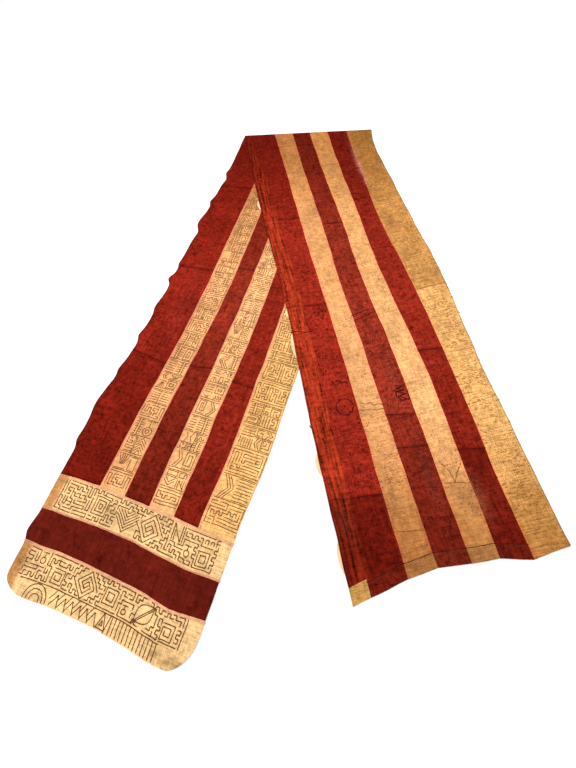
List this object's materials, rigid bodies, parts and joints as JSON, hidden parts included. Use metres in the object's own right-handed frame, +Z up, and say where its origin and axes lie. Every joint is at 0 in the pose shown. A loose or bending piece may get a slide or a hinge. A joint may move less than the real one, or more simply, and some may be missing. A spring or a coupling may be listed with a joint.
{
  "type": "kuba cloth",
  "caption": "Long striped and embroidered raffia kuba cloth lying on the floor, folded once with its two arms spread in a V.",
  "frame": {"origin": "under the middle of the lying cloth, on the floor", "axes": "+Z up from the floor, +Y towards the crease, +X along the crease to the side of the upper arm"},
  "size_m": [1.941, 2.6558, 0.0112],
  "materials": {
    "red_raffia": "matt plain-woven raffia, red dyed",
    "light_raffia": "matt plain-woven raffia, undyed with a pink cast",
    "gold_raffia": "matt plain-woven raffia, golden",
    "maroon_raffia": "matt plain-woven raffia, dark red",
    "cream_raffia": "matt plain-woven raffia, bleached",
    "dark_thread": "stem-stitched raffia thread, dark brown"
  },
  "bodies": {
    "root": {"red_a_panel_1": "red_raffia", "red_a_panel_2": "red_raffia", "red_a_panel_3": "red_raffia", "red_a_panel_4": "red_raffia", "red_a_panel_5": "red_raffia", "red_a_panel_6": "red_raffia", "red_a_panel_7": "red_raffia", "light_b_panel_1": "light_raffia", "light_b_panel_2": "light_raffia", "light_b_panel_3": "light_raffia", "light_b_panel_4": "light_raffia", "red_c_panel_1": "red_raffia", "red_c_panel_2": "red_raffia", "red_c_panel_3": "red_raffia", "red_c_panel_4": "red_raffia", "red_c_panel_5": "red_raffia", "red_c_panel_6": "red_raffia", "red_c_panel_7": "red_raffia", "red_c_panel_8": "red_raffia", "light_d_panel_1": "light_raffia", "light_d_panel_2": "light_raffia", "light_d_panel_3": "light_raffia", "red_e_panel_1": "red_raffia", "red_e_panel_2": "red_raffia", "red_e_panel_3": "red_raffia", "red_e_panel_4": "red_raffia", "red_e_panel_5": "red_raffia", "red_e_panel_6": "red_raffia", "gold_f_panel_1": "gold_raffia", "gold_f_panel_2": "gold_raffia", "gold_f_panel_3": "gold_raffia", "corner_patch": "gold_raffia", "light_band": "light_raffia", "dark_band": "maroon_raffia", "end_band": "light_raffia", "edge_slip_1": "cream_raffia", "edge_slip_2": "cream_raffia", "edge_slip_3": "cream_raffia", "edge_slip_4": "cream_raffia", "edge_slip_5": "cream_raffia", "edge_slip_6": "cream_raffia"}
  },
  "joints": []
}
